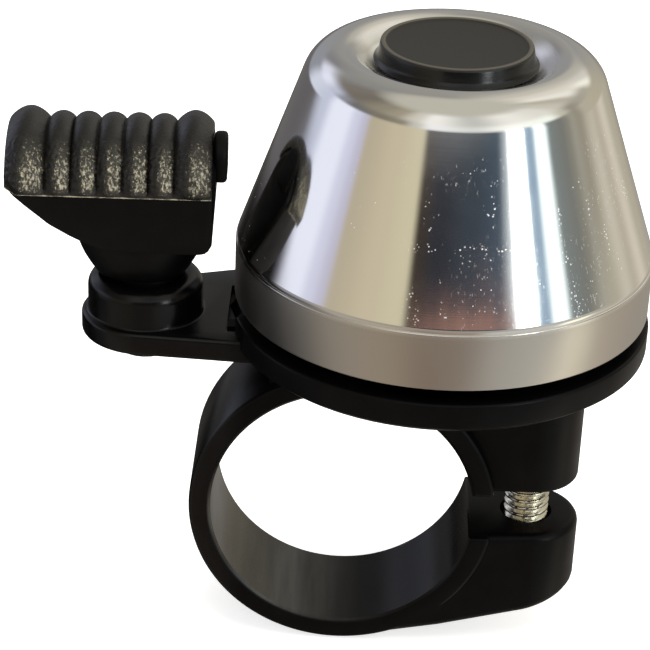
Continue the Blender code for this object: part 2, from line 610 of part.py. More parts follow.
def main():
    clear_scene()
    black = material("black plastic", (0.012, 0.012, 0.013), 0.32)
    cap_black = material("cap plastic", (0.022, 0.021, 0.019), 0.38)
    grip = material("grip rubber", (0.013, 0.012, 0.012), 0.5)
    polished = material("polished aluminium", (0.86, 0.86, 0.84), 0.14, 1.0)
    zinc = material("zinc plated steel", (0.72, 0.70, 0.60), 0.28, 1.0)
    spring_steel = material("spring steel", (0.45, 0.45, 0.46), 0.3, 1.0)
    brass = material("brass", (0.75, 0.55, 0.24), 0.3, 1.0)
    nylon = material("nylon", (0.80, 0.79, 0.74), 0.5)
    rubber = material("rubber", (0.03, 0.03, 0.03), 0.75)

    make_base(black)
    make_dome(polished)
    make_cap(cap_black)
    make_dome_fixings(zinc, spring_steel, nylon, rubber, brass)
    make_lever(black)
    make_grip(grip)
    make_spring(spring_steel)
    make_hammer(spring_steel, zinc)
    make_pivot_fixings(zinc)
    make_clamp_fixings(zinc, brass)


main()
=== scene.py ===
"""Looks for the bicycle bell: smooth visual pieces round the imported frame, materials, studio, camera.

Lengths in the shape functions are millimetres in the frame's own axes: origin at the clamp bore's
centre, bore along Y, dome axis along +Z, thumb lever towards -X.
"""

import math

import bmesh
import bpy
from mathutils import Matrix, Vector, noise


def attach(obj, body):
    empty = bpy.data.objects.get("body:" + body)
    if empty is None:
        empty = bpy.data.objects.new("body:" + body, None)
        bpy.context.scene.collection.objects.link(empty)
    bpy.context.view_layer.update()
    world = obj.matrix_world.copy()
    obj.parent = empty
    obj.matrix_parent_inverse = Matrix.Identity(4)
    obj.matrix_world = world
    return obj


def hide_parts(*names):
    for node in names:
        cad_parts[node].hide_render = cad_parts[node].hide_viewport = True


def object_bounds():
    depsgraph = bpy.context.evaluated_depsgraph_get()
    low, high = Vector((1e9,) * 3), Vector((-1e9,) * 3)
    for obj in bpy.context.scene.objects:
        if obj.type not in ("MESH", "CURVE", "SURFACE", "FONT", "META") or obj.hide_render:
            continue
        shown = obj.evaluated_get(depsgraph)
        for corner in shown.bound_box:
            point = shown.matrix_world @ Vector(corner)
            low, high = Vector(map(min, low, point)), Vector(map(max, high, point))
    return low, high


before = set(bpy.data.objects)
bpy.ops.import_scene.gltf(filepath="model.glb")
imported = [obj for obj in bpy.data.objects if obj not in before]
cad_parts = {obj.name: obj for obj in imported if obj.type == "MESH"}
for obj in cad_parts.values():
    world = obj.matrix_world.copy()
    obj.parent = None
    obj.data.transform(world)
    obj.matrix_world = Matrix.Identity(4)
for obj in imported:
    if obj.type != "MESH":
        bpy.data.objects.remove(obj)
CAD_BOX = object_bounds()

MM = 0.001
GAP = 0.3                      # air between two pieces that rest on each other

# Clamp and its screw
BORE_R, RING_R, RING_HALF = 11.4, 13.3, 5.35
SPLIT_LOW, SPLIT_HIGH = -2.2, 1.9
SCREW_X, EAR_R, LOW_EAR_R = 16.45, 4.3, 4.65
LOW_EAR_HALF, LOW_EAR_RISE = 5.33, 11.5       # half width, and degrees its underside climbs
SEAT_Z = -6.6                  # where the screw's washer sits
SCREW_HOLE_R, INSERT_HOLE_R = 2.3, 3.2
THREAD_R, ROOT_R, PITCH = 1.95, 1.62, 0.7
THREAD_LOW, THREAD_HIGH = -3.4, 3.0           # stretch that can be seen, drawn as a helix

# Pan and post
BELL_X, PAN_TOP, PAN_R, PAN_WALL = 7.6, 17.8, 17.7, 1.2
PAN_FLOOR, PAN_UNDER = 16.2, 15.1
POST_HOLE_R = 2.4

# Arm and collar
PIVOT_X, ARM_HALF, ARM_TOP, ARM_UNDER = -17.5, 5.45, 16.4, 14.35
ARM_FRONT, ARM_BACK, RIB_UNDER = -6.0, 8.6, 10.8
CHANNEL_HALF = 4.75
SLOT_LOW, SLOT_HIGH = (-10.4, -4.1), (-7.6, 4.6)     # corners of the hammer's slot
COLLAR_R, COLLAR_TOP, CAVITY_R, JOURNAL_HOLE_R = 4.9, 19.8, 4.15, 3.1

# Lever and grip
NOSE_Z, CORE_Y, CORE_RY, CORE_RZ, CORE_FOOT = 29.75, -2.05, 4.0, 3.3, 23.2
PAD_LEFT, CORE_LEFT, CORE_END = -10.95, -10.9, 5.95
PAD_TURN = 2.0                 # degrees the pad is set round the pivot at rest
TAB_START, TAB_END = 5.75, 6.85
RIB_WIDTHS = (3.2, 2.07, 2.07, 2.07, 2.07, 2.07, 3.05)
BOSS_R, BOSS_HOLE_R = 3.0, 1.7
GRIP_SKIN, GRIP_END = 0.55, 158.0             # thickness, and degrees the grip wraps over the core

# Dome, heights from the pan's top
DOME_R, CREASE_Z, CONE_SLOPE, CREST_Z, SHOULDER_R = 17.5, 6.03, 0.3487, 23.0, 3.3
TOP_FACE_Z, WELL_R, WELL_FLOOR, DOME_HOLE_R, DOME_WALL = 21.65, 5.6, 18.2, 3.05, 1.2
DOME_RIM = 1.15

# Camera, millimetres and degrees
LENS, ROLL = 125.8, 2.39
EYE, BACKWARD = (-1.1, -173.0, 104.7), (0.0052, -0.8884, 0.4591)

BLACK = (0.0013, 0.0012, 0.0013)


# ---------------------------------------------------------------- mesh helpers

def polar(radius, degrees):
    """Point at this distance and angle from the origin of a plane."""
    turn = math.radians(degrees)
    return radius * math.cos(turn), radius * math.sin(turn)


def arc(cx, cy, radius, start, end, steps):
    """Points along an arc, both ends included, angles in degrees."""
    points = []
    for i in range(steps + 1):
        dx, dy = polar(radius, start + (end - start) * i / steps)
        points.append((cx + dx, cy + dy))
    return points


def add_object(name, bm):
    bmesh.ops.recalc_face_normals(bm, faces=bm.faces)
    mesh = bpy.data.meshes.new(name)
    bm.to_mesh(mesh)
    bm.free()
    obj = bpy.data.objects.new(name, mesh)
    bpy.context.scene.collection.objects.link(obj)
    return obj


def skin(bm, rings, closed):
    """Faces between each ring of vertices and the next; closed joins the last ring to the first."""
    pairs = list(zip(rings, rings[1:]))
    if closed:
        pairs.append((rings[-1], rings[0]))
    for low, high in pairs:
        for i in range(len(low)):
            j = (i + 1) % len(low)
            corners = list(dict.fromkeys((low[i], low[j], high[j], high[i])))
            if len(corners) > 2:
                bm.faces.new(corners)


def lathe(name, profile, segments=96, at=(0, 0), axis="Z", phase=0.0):
    """Turn a closed outline of (radius, height) points about an upright or a Y axis."""
    bm = bmesh.new()
    rings = []
    for radius, height in profile:
        def spot(u, v):
            if axis == "Y":
                return Vector((at[0] + u, height, at[1] + v)) * MM
            return Vector((at[0] + u, at[1] + v, height)) * MM
        if radius < 1e-6:
            rings.append([bm.verts.new(spot(0, 0))] * segments)
        else:
            rings.append([bm.verts.new(spot(*polar(radius, 360.0 * (i + phase) / segments)))
                          for i in range(segments)])
    skin(bm, rings, True)
    return add_object(name, bm)


def loft(name, sections):
    """Solid through a row of closed sections with the same number of points."""
    bm = bmesh.new()
    rings = [[bm.verts.new(Vector(point) * MM) for point in ring] for ring in sections]
    skin(bm, rings, False)
    bm.faces.new(rings[0])
    bm.faces.new(list(reversed(rings[-1])))
    return add_object(name, bm)


def prism(name, outline, low, high, axis="Z"):
    """Flat outline carried along an axis from low to high."""
    spot = {
        "Z": lambda p, level: (p[0], p[1], level),
        "Y": lambda p, level: (p[0], level, p[1]),
        "X": lambda p, level: (level, p[0], p[1]),
    }[axis]
    return loft(name, [[spot(p, level) for p in outline] for level in (low, high)])


def box(name, low, high):
    return prism(name, [(low[0], low[1]), (high[0], low[1]), (high[0], high[1]), (low[0], high[1])],
                 low[2], high[2])


def settle(obj):
    """Make the object's modifiers part of its mesh."""
    graph = bpy.context.evaluated_depsgraph_get()
    mesh = bpy.data.meshes.new_from_object(obj.evaluated_get(graph))
    old = obj.data
    obj.modifiers.clear()
    obj.data = mesh
    bpy.data.meshes.remove(old)
    return obj


def soften(obj, width, segments=3):
    """Round the edges sharper than 35 degrees."""
    mod = obj.modifiers.new("Soft edges", "BEVEL")
    mod.width = width * MM
    mod.segments = segments
    mod.limit_method = "ANGLE"
    mod.angle_limit = math.radians(35.0)
    return settle(obj)


def combine(target, steps):
    """Boolean steps [(operation, [tools]), ...]; the tools are removed afterwards."""
    used = []
    for operation, tools in steps:
        for tool in tools:
            mod = target.modifiers.new(tool.name, "BOOLEAN")
            mod.operation = operation
            mod.solver = "EXACT"
            mod.object = tool
            used.append(tool)
    settle(target)
    for tool in used:
        bpy.data.objects.remove(tool, do_unlink=True)
    return target


def smooth(obj, angle):
    for face in obj.data.polygons:
        face.use_smooth = True
    obj.data.set_sharp_from_angle(angle=math.radians(angle))


def dress(obj, mat):
    obj.data.materials.clear()
    obj.data.materials.append(mat)


def place(obj, mat, body, slot, *nodes, angle=32.0):
    """Finish a new piece: shading, material, the body it rides on and the CAD nodes it stands for."""
    smooth(obj, angle)
    dress(obj, mat)
    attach(obj, body)
    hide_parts(*nodes)


# ---------------------------------------------------------------- materials

class Graph:
    """A material's nodes, added and linked in few words."""

    def __init__(self, name, colour, rough, metallic=0.0, **sockets):
        self.mat = bpy.data.materials.new(name)
        self.mat.use_nodes = True
        self.tree = self.mat.node_tree
        self.shader = self.tree.nodes["Principled BSDF"]
        self.shader.inputs["Base Color"].default_value = (*colour, 1.0)
        self.shader.inputs["Roughness"].default_value = rough
        self.shader.inputs["Metallic"].default_value = metallic
        for key, value in sockets.items():
            self.shader.inputs[key.replace("_", " ")].default_value = value
        self.coord = self.add("TexCoord")

    def add(self, kind, **settings):
        node = self.tree.nodes.new("ShaderNode" + kind)
        for key, value in settings.items():
            if hasattr(node, key):
                setattr(node, key, value)
            else:
                node.inputs[key.replace("_", " ")].default_value = value
        return node

    def link(self, a, b):
        self.tree.links.new(a, b)

    def stretched(self, scale):
        mapping = self.add("Mapping")
        mapping.inputs["Scale"].default_value = scale
        self.link(self.coord.outputs["Object"], mapping.inputs["Vector"])
        return mapping.outputs["Vector"]

    def noise(self, scale, detail=3.0, rough=0.55, vector=None):
        node = self.add("TexNoise")
        node.inputs["Scale"].default_value = scale
        node.inputs["Detail"].default_value = detail
        node.inputs["Roughness"].default_value = rough
        self.link(vector or self.coord.outputs["Object"], node.inputs["Vector"])
        return node.outputs["Fac"]

    def voronoi(self, scale):
        node = self.add("TexVoronoi", feature="F1")
        node.inputs["Scale"].default_value = scale
        self.link(self.coord.outputs["Object"], node.inputs["Vector"])
        return node.outputs["Distance"]

    def ramp(self, value, low, high, out_low=0.0, out_high=1.0):
        node = self.add("MapRange", clamp=True)
        node.inputs["From Min"].default_value = low
        node.inputs["From Max"].default_value = high
        node.inputs["To Min"].default_value = out_low
        node.inputs["To Max"].default_value = out_high
        self.link(value, node.inputs["Value"])
        return node.outputs["Result"]

    def math(self, operation, a, b):
        node = self.add("Math", operation=operation)
        for socket, value in zip(node.inputs, (a, b)):
            if isinstance(value, (int, float)):
                socket.default_value = value
            else:
                self.link(value, socket)
        return node.outputs["Value"]

    def mix(self, factor, a, b):
        node = self.add("Mix", data_type="RGBA")
        for index, value in ((0, factor), (6, a), (7, b)):
            if isinstance(value, (int, float)):
                node.inputs[index].default_value = value
            elif isinstance(value, tuple):
                node.inputs[index].default_value = (*value, 1.0)
            else:
                self.link(value, node.inputs[index])
        return node.outputs[2]

    def to(self, socket, value):
        self.link(value, self.shader.inputs[socket])

    def bump(self, height, distance, strength):
        node = self.add("Bump")
        node.inputs["Strength"].default_value = strength
        node.inputs["Distance"].default_value = distance
        self.link(height, node.inputs["Height"])
        self.link(node.outputs["Normal"], self.shader.inputs["Normal"])


def black_plastic(name, rough=0.34, base=False):
    """Black moulding; base adds the bore's and the arm's own gloss, and the bore's painted reflection."""
    g = Graph(name, BLACK, rough, Specular_IOR_Level=0.15)
    broad = g.noise(180, 4)
    satin = g.ramp(broad, 0.3, 0.7, rough - 0.06, rough + 0.1)
    tint = g.mix(g.ramp(g.noise(420, 5), 0.45, 0.75), BLACK, tuple(c * 1.7 for c in BLACK))
    if base:
        # The bore is glossier than the outside, and its colour is painted lighter and brown as a painted
        # reflection, lightest on its left half as a painted highlight. The arm, left of the pan, is glossier
        # too.
        split = g.add("SeparateXYZ")
        g.link(g.coord.outputs["Object"], split.inputs["Vector"])
        away = g.math("ADD", g.math("POWER", split.outputs["X"], 2.0),
                      g.math("POWER", split.outputs["Z"], 2.0))
        away = g.math("SQRT", away, 0.0)
        inner = g.ramp(away, (BORE_R + 0.25) * MM, (BORE_R + 0.12) * MM)
        worn = g.ramp(g.noise(1.0, 4, 0.6, g.stretched((700, 60, 60))), 0.35, 0.7, 0.3, 1.0)
        # Painted highlight: the bore's left half, whose colour is painted lighter still.
        outer = g.math("MULTIPLY", inner, g.ramp(split.outputs["X"], 0.002, -0.004))
        tint = g.mix(inner, tint, (0.0045, 0.0038, 0.0032))
        tint = g.mix(outer, tint, (0.014, 0.0115, 0.009))
        arm = g.ramp(split.outputs["X"], -0.0085, -0.0105)
        satin = g.math("MULTIPLY", satin, g.ramp(g.math("MAXIMUM", inner, arm), 0.0, 1.0, 1.0, 0.6))
        shine = g.math("ADD", g.math("MULTIPLY", inner, 0.08), g.math("MULTIPLY", arm, 0.15))
        shine = g.math("ADD", shine, g.math("MULTIPLY", g.math("MULTIPLY", outer, worn), 0.7))
        g.to("Specular IOR Level", g.math("ADD", shine, 0.11))
    g.to("Roughness", satin)
    g.to("Base Color", tint)
    g.bump(g.noise(2600, 3, 0.6), 0.00002, 0.35)
    return g.mat


def polished_dome():
    """Polished cone over a satin band, with scuffs; its own lengths are in metres."""
    flat_r, flat_z = 0.0079, 0.0390
    ring_low, ring_high, cone_top = 0.0297, 0.0306, 0.0372
    g = Graph("polished aluminium", (0.86, 0.85, 0.82), 0.13, 1.0)
    split = g.add("SeparateXYZ")
    g.link(g.coord.outputs["Object"], split.inputs["Vector"])
    height = split.outputs["Z"]
    # The straight band under the crease is left satin, the cone above it is polished.
    crease = (PAN_TOP + CREASE_Z) * MM
    band = g.ramp(height, crease + 0.0002, crease - 0.0004)
    # So is the dished flat under the cap.
    off = g.math("SUBTRACT", split.outputs["X"], BELL_X * MM)
    away = g.math("ADD", g.math("POWER", off, 2.0), g.math("POWER", split.outputs["Y"], 2.0))
    away = g.math("SQRT", away, 0.0)
    dish = g.math("MULTIPLY", g.ramp(away, flat_r + 0.0007, flat_r),
                  g.ramp(height, flat_z - 0.0005, flat_z))
    # Small scuffs in the polish, thicker at the front and along one ring.
    front = g.math("MULTIPLY", g.ramp(off, -0.005, -0.001), g.ramp(split.outputs["Y"], -0.002, -0.006))
    zone = g.math("ADD", g.noise(110, 3), g.math("MULTIPLY", front, 0.07))
    specks = g.math("MULTIPLY", g.ramp(g.voronoi(1700), 0.11, 0.05), g.ramp(zone, 0.52, 0.60))
    fine = g.ramp(g.voronoi(3300), 0.30, 0.16)
    ring = g.math("MULTIPLY", g.ramp(height, ring_low, ring_low + 0.0002),
                  g.ramp(height, ring_high, ring_high - 0.0003))
    ring = g.math("MULTIPLY", g.math("MULTIPLY", ring, front), g.ramp(off, 0.0070, 0.0045))
    ring = g.math("MULTIPLY", ring, g.ramp(g.noise(900, 2), 0.46, 0.52))
    specks = g.math("MAXIMUM", specks, g.math("MULTIPLY", ring, fine))
    edge = g.math("MULTIPLY", g.ramp(g.noise(1.0, 2, 0.5, g.stretched((700, 700, 50))), 0.60, 0.65), fine)
    specks = g.math("MAXIMUM", specks, g.math("MULTIPLY", edge, front))
    scratch = g.ramp(g.noise(1.0, 3, 0.6, g.stretched((5600, 5600, 420))), 0.62, 0.70)
    scratch = g.math("MULTIPLY", scratch, g.math("MULTIPLY", front, g.ramp(zone, 0.50, 0.60)))
    specks = g.math("MAXIMUM", specks, g.math("MULTIPLY", scratch, 0.4))
    specks = g.math("MULTIPLY", specks, g.math("MULTIPLY", g.ramp(height, cone_top, cone_top - 0.0012),
                                               g.ramp(height, crease + 0.0002, crease + 0.0006)))
    g.to("Metallic", g.ramp(specks, 0.0, 1.0, 1.0, 0.5))
    rough = g.math("ADD", g.ramp(g.noise(160, 4), 0.3, 0.75, 0.06, 0.12), g.math("MULTIPLY", specks, 0.3))
    rough = g.math("ADD", rough, g.math("MULTIPLY", g.math("ADD", band, dish), 0.22))
    g.to("Roughness", rough)
    tint = g.mix(band, (0.87, 0.86, 0.83), (0.60, 0.57, 0.52))
    g.to("Base Color", g.mix(specks, tint, (0.95, 0.95, 0.95)))
    rings = g.noise(1.0, 2, 0.5, g.stretched((60, 60, 9000)))
    g.bump(rings, 0.0000015, 0.2)
    return g.mat


def satin_metal(name, colour, rough):
    """Bare metal with a fine grain in its roughness."""
    g = Graph(name, colour, rough, 1.0)
    grain = g.noise(1.0, 4, 0.6, g.stretched((2500, 2500, 2500)))
    g.to("Roughness", g.ramp(grain, 0.25, 0.75, rough - 0.07, rough + 0.12))
    g.to("Base Color", g.mix(g.ramp(g.noise(600, 4), 0.35, 0.7), colour, tuple(c * 0.82 for c in colour)))
    g.bump(grain, 0.00001, 0.5)
    return g.mat


def rubbery(name, colour, rough, grain=1800.0, depth=0.00005):
    """Matt rubber or nylon with a fine pebbled surface."""
    g = Graph(name, colour, rough, Specular_IOR_Level=0.4)
    g.to("Roughness", g.ramp(g.noise(grain * 0.4, 4), 0.3, 0.7, rough - 0.08, rough + 0.12))
    g.to("Base Color", g.mix(g.ramp(g.noise(grain * 0.2, 4), 0.35, 0.75), colour,
                             tuple(c * 1.8 for c in colour)))
    g.bump(g.noise(grain, 3, 0.6), depth, 0.6)
    return g.mat


# ---------------------------------------------------------------- studio

def camera():
    """Long lens, slightly rolled, looking down on the bell's front."""
    data = bpy.data.cameras.new("camera")
    data.lens = LENS
    data.sensor_width = 36.0
    data.clip_start = 0.01
    obj = bpy.data.objects.new("camera", data)
    bpy.context.scene.collection.objects.link(obj)
    back = Vector(BACKWARD).normalized()
    level = Vector((-back.y, back.x, 0.0)).normalized()
    up = back.cross(level)
    roll = math.radians(ROLL)
    right = level * math.cos(roll) + up * math.sin(roll)
    top = up * math.cos(roll) - level * math.sin(roll)
    obj.matrix_world = Matrix.Translation(Vector(EYE) * MM) @ Matrix(
        (right, top, back)).transposed().to_4x4()
    bpy.context.scene.camera = obj


def softbox(name, at, target, size, watts):
    """Soft light that neither the camera nor a reflection sees."""
    data = bpy.data.lights.new(name, "AREA")
    data.shape = "RECTANGLE"
    data.size, data.size_y = size
    data.energy = watts
    obj = bpy.data.objects.new(name, data)
    bpy.context.scene.collection.objects.link(obj)
    obj.location = at
    obj.rotation_euler = (Vector(target) - Vector(at)).to_track_quat("-Z", "Y").to_euler()
    obj.visible_glossy = False
    obj.visible_camera = False


def surroundings():
    """Soft studio: bright ceiling, pale and dark panels round the horizon, plain backdrop."""
    world = bpy.data.worlds.new("studio")
    bpy.context.scene.world = world
    world.use_nodes = True
    tree = world.node_tree
    tree.nodes.clear()

    def add(kind, **settings):
        node = tree.nodes.new("ShaderNode" + kind)
        for key, value in settings.items():
            setattr(node, key, value)
        return node

    def calc(operation, a, b=None):
        node = add("Math", operation=operation)
        for socket, value in zip(node.inputs, (a, b)):
            if isinstance(value, (int, float)):
                socket.default_value = value
            elif value is not None:
                tree.links.new(value, socket)
        return node.outputs[0]

    def bands(value, stops):
        node = add("ValToRGB")
        ramp = node.color_ramp
        ramp.interpolation = "EASE"
        while len(ramp.elements) < len(stops):
            ramp.elements.new(0.5)
        for element, (position, colour) in zip(ramp.elements, stops):
            element.position = position
            element.color = (*colour, 1.0)
        tree.links.new(value, node.inputs[0])
        return node.outputs[0]

    def span(value, low, high):
        node = add("MapRange", interpolation_type="SMOOTHSTEP")
        node.inputs["From Min"].default_value = low
        node.inputs["From Max"].default_value = high
        tree.links.new(value, node.inputs["Value"])
        return node.outputs["Result"]

    def blend(factor, a, b):
        node = add("Mix", data_type="RGBA")
        tree.links.new(factor, node.inputs[0])
        for index, value in ((6, a), (7, b)):
            if isinstance(value, tuple):
                node.inputs[index].default_value = (*value, 1.0)
            else:
                tree.links.new(value, node.inputs[index])
        return node.outputs[2]

    coord = add("TexCoord")
    split = add("SeparateXYZ")
    tree.links.new(coord.outputs["Generated"], split.inputs[0])
    x, y, z = split.outputs
    # 0 is behind the object, 0.5 towards the camera, growing from -X to +X.
    turn = calc("ARCTAN2", x, calc("MULTIPLY", y, -1.0))
    turn = calc("ADD", calc("DIVIDE", turn, 2 * math.pi), 0.5)

    def at(degrees):
        return degrees / 360.0 + 0.5

    def around(*stops):
        return bands(turn, [(at(degrees), colour) for degrees, colour in stops])

    # One ring of panels for each height, from below the object up to the zenith.
    below = around(
        (-180, (0.30, 0.28, 0.26)), (-170, (0.07, 0.065, 0.06)), (-140, (0.02, 0.02, 0.02)),
        (-110, (0.012, 0.012, 0.012)),
        (-85, (0.13, 0.13, 0.13)), (-60, (0.42, 0.38, 0.34)), (-30, (0.46, 0.39, 0.31)),
        (-10, (0.30, 0.24, 0.20)), (14, (0.34, 0.28, 0.24)), (30, (0.58, 0.57, 0.54)),
        (62, (0.62, 0.61, 0.58)), (72, (1.25, 1.18, 1.0)), (82, (1.2, 1.15, 0.95)),
        (92, (0.60, 0.53, 0.46)), (150, (0.42, 0.39, 0.35)), (180, (0.30, 0.28, 0.26)))
    bench = around(
        (-180, (0.16, 0.15, 0.15)), (-135, (0.13, 0.125, 0.13)), (-105, (0.20, 0.20, 0.24)),
        (-90, (0.30, 0.30, 0.34)),
        (-60, (0.40, 0.36, 0.30)), (0, (0.35, 0.30, 0.26)), (60, (0.5, 0.5, 0.48)),
        (88, (0.45, 0.44, 0.38)),
        (100, (0.46, 0.43, 0.35)), (112, (0.62, 0.57, 0.48)), (120, (0.52, 0.47, 0.39)),
        (130, (0.68, 0.62, 0.52)), (142, (0.48, 0.44, 0.35)), (180, (0.16, 0.15, 0.15)))
    lavender, beige, sand = (0.90, 0.93, 1.10), (0.52, 0.455, 0.34), (0.50, 0.46, 0.38)
    brown, navy, slate = (0.050, 0.040, 0.034), (0.030, 0.034, 0.045), (0.058, 0.085, 0.12)
    white, line, cool = (6.0, 6.3, 6.4), (0.30, 0.42, 0.56), (1.3, 1.45, 1.5)
    grey, sage = (0.22, 0.25, 0.25), (0.21, 0.215, 0.20)
    horizon = around(
        (-180, (0.30, 0.30, 0.30)), (-150, (0.30, 0.31, 0.36)), (-133, (0.70, 0.74, 0.88)),
        (-108, (0.60, 0.64, 0.80)), (-97, lavender), (-84, lavender), (-76, (0.70, 0.72, 0.90)),
        (-68, (0.58, 0.57, 0.72)), (-63, beige), (-40, (0.62, 0.55, 0.40)), (-23, (0.67, 0.61, 0.44)),
        (-18.5, brown), (-6, navy), (14, (0.045, 0.058, 0.078)), (30, slate), (37, (0.5, 0.55, 0.6)),
        (41, white), (48, white), (51, line), (56, line), (60, cool), (66, cool), (71, grey), (82, sage),
        (87, (0.26, 0.25, 0.215)), (93, (0.36, 0.345, 0.29)), (100, (0.34, 0.31, 0.25)), (110, sand),
        (122, (0.50, 0.455, 0.35)), (133, (0.48, 0.44, 0.34)), (180, (0.30, 0.30, 0.30)))
    wall = around(
        (-180, (0.33, 0.32, 0.30)), (-160, (0.24, 0.24, 0.25)), (-145, (0.78, 0.80, 0.95)),
        (-132, (0.85, 0.88, 1.05)), (-111, (0.56, 0.59, 0.74)), (-98, (0.30, 0.31, 0.36)),
        (-85, (0.18, 0.175, 0.18)), (-60, (0.22, 0.20, 0.16)), (-42, (0.28, 0.26, 0.20)),
        (-30, (0.62, 0.60, 0.55)), (-18, (0.97, 0.97, 1.0)), (14, (0.78, 0.80, 0.78)),
        (45, (1.15, 1.15, 1.1)),
        (76, (1.05, 1.10, 1.02)), (90, (0.60, 0.58, 0.48)), (102, (0.34, 0.31, 0.26)),
        (116, (0.42, 0.40, 0.34)), (131, (0.46, 0.43, 0.36)), (142, (1.0, 0.98, 0.88)),
        (152, (0.70, 0.67, 0.60)), (166, (0.50, 0.48, 0.42)), (180, (0.33, 0.32, 0.30)))
    ceiling = around(
        (-180, (0.33, 0.32, 0.30)), (-150, (0.28, 0.28, 0.27)), (-121, (0.21, 0.19, 0.17)),
        (-98, (0.19, 0.17, 0.145)), (-70, (0.30, 0.27, 0.21)), (-52, (0.38, 0.34, 0.26)),
        (-34, (0.68, 0.65, 0.58)), (-20, (0.98, 0.97, 0.93)), (16, (0.60, 0.60, 0.57)),
        (50, (0.95, 0.93, 0.88)), (82, (0.82, 0.80, 0.74)), (98, (0.64, 0.61, 0.53)),
        (115, (0.52, 0.48, 0.40)), (128, (0.92, 0.90, 0.82)), (145, (0.78, 0.74, 0.66)),
        (162, (0.60, 0.57, 0.50)), (180, (0.33, 0.32, 0.30)))
    # A warm patch low in front, as of a hand holding the camera.
    cloud = add("TexNoise")
    cloud.inputs["Scale"].default_value = 9.0
    cloud.inputs["Detail"].default_value = 2.0
    tree.links.new(coord.outputs["Generated"], cloud.inputs["Vector"])
    aside = calc("SUBTRACT", turn, at(3))
    level = calc("ADD", z, calc("MULTIPLY", calc("MULTIPLY", aside, aside), 4.3))
    level = calc("ADD", level, calc("MULTIPLY", calc("SUBTRACT", cloud.outputs["Fac"], 0.5), 0.016))
    hand = calc("MULTIPLY", span(level, 0.2005, 0.196), span(level, 0.14, 0.165))
    hand = calc("MULTIPLY", hand, calc("MULTIPLY", span(turn, at(-22), at(-14)),
                                       span(turn, at(42), at(36))))
    sky = blend(hand, horizon, (0.40, 0.22, 0.17))
    sky = blend(span(z, 0.03, -0.05), sky, bench)
    # Dark patch low at the left, rising towards the front.
    slant = calc("ADD", z, calc("MULTIPLY", calc("SUBTRACT", turn, at(-114)), -1.8))
    shade = calc("MULTIPLY", span(slant, -0.04, -0.08), span(turn, at(-94), at(-106)))
    sky = blend(shade, sky, (0.008, 0.007, 0.007))
    sky = blend(span(z, -0.26, -0.36), sky, below)
    sky = blend(span(z, 0.28, 0.40), sky, wall)
    sky = blend(span(z, 0.45, 0.64), sky, ceiling)
    sky = blend(span(z, 0.82, 0.94), sky, (0.55, 0.53, 0.46))
    lit = add("Background")
    tree.links.new(sky, lit.inputs[0])
    lit.inputs[1].default_value = 1.0
    plain = add("Background")
    plain.inputs[0].default_value = (1.0, 1.0, 1.0, 1.0)
    plain.inputs[1].default_value = 1.0
    path = add("LightPath")
    pick = add("MixShader")
    tree.links.new(path.outputs["Is Camera Ray"], pick.inputs[0])
    tree.links.new(lit.outputs[0], pick.inputs[1])
    tree.links.new(plain.outputs[0], pick.inputs[2])
    out = add("OutputWorld")
    tree.links.new(pick.outputs[0], out.inputs[0])


def floor():
    """White ground just under the bell, out of its reflections."""
    bm = bmesh.new()
    bmesh.ops.create_circle(bm, cap_ends=True, segments=128, radius=4.0)
    obj = add_object("floor", bm)
    obj.location = (0, 0, CAD_BOX[0][2] - 0.0002)
    g = Graph("floor paper", (0.9, 0.9, 0.9), 0.9, Emission_Strength=0.7)
    g.shader.inputs["Emission Color"].default_value = (1.0, 1.0, 1.0, 1.0)
    g.to("Base Color", g.mix(g.noise(8, 4), (0.88, 0.88, 0.88), (0.92, 0.92, 0.92)))
    dress(obj, g.mat)
    obj.visible_glossy = False


# ---------------------------------------------------------------- dome and cap

def dome_profile():
    """Closed outline of the dome's wall, up the outside and down the inside."""
    lean = math.atan(CONE_SLOPE)
    up = PAN_TOP
    flat_r = (DOME_R - CONE_SLOPE * (CREST_Z - CREASE_Z)
              - SHOULDER_R * math.tan(math.radians(45) - lean / 2))
    outside = arc(DOME_R - 0.2, up + DOME_RIM + 0.2, 0.2, -90, 0, 4)
    # The upright band ends in a small rounded step, and the cone rises from a fine groove behind it.
    crease, step = up + CREASE_Z, 0.12
    outside += [(DOME_R, crease - 1.5)] + arc(DOME_R - step, crease - 0.1, step, 0, 80, 6)
    outside += [(DOME_R - step - 0.01, crease + 0.05), (DOME_R - step, crease + 0.14)]
    outside += [(DOME_R - CONE_SLOPE * rise, crease + rise) for rise in (0.36, 0.5, 1.2)]
    outside += arc(flat_r, up + CREST_Z - SHOULDER_R, SHOULDER_R, math.degrees(lean), 90, 20)
    # The top is dished: it falls from the crest to the flat that the cap sits on.
    outside += [(flat_r - 0.5, up + CREST_Z - 0.06), (flat_r - 1.0, up + CREST_Z - 0.28),
                (flat_r - 1.5, up + CREST_Z - 0.62), (flat_r - 1.9, up + CREST_Z - 0.95),
                (flat_r - 2.2, up + TOP_FACE_Z + 0.1), (flat_r - 2.5, up + TOP_FACE_Z),
                (WELL_R + 0.5, up + TOP_FACE_Z)]
    outside += arc(WELL_R + 0.3, up + TOP_FACE_Z - 0.3, 0.3, 90, 180, 4)
    outside += [(WELL_R, up + WELL_FLOOR), (DOME_HOLE_R, up + WELL_FLOOR)]
    thick = DOME_WALL
    inside = [(DOME_HOLE_R, up + WELL_FLOOR - thick), (WELL_R + thick, up + WELL_FLOOR - thick),
              (WELL_R + thick, up + TOP_FACE_Z - thick),
              (flat_r - 0.9, up + CREST_Z - 0.35 - thick)]
    inside += arc(flat_r, up + CREST_Z - SHOULDER_R, SHOULDER_R - thick, 90, math.degrees(lean), 8)
    inside += [(DOME_R - thick - 0.05 - CONE_SLOPE * 0.6, up + CREASE_Z + 0.4),
               (DOME_R - thick, up + CREASE_Z - 0.6), (DOME_R - thick, up + DOME_RIM + 0.15),
               (DOME_R - thick + 0.15, up + DOME_RIM)]
    return outside + inside


